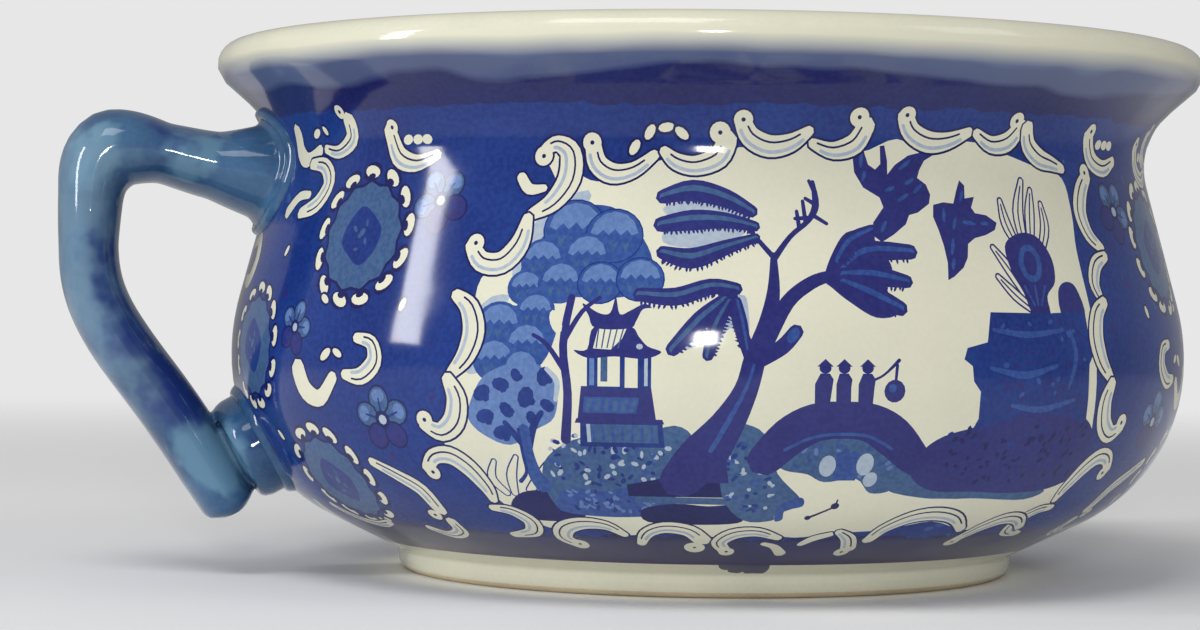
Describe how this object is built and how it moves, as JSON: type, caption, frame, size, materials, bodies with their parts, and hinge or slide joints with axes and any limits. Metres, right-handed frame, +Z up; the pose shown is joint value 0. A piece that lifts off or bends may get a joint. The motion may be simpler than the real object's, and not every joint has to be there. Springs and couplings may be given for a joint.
{
  "type": "chamber pot",
  "caption": "Round glazed earthenware chamber pot with a flared rolled rim, bellied wall, low foot ring and one loop handle with a thumb corner and tail.",
  "frame": {"origin": "on the pot's axis, in the plane that the foot ring stands on", "axes": "+Z up along the pot's axis; the handle points along -X; the XZ plane is the plane of symmetry"},
  "size_m": [0.2728, 0.236, 0.125],
  "materials": {
    "cream_glaze": "gloss",
    "blue_glaze": "gloss"
  },
  "bodies": {
    "root": {"body": "cream_glaze", "handle": "blue_glaze", "upper_slip": "blue_glaze", "lower_slip": "blue_glaze"}
  },
  "joints": []
}
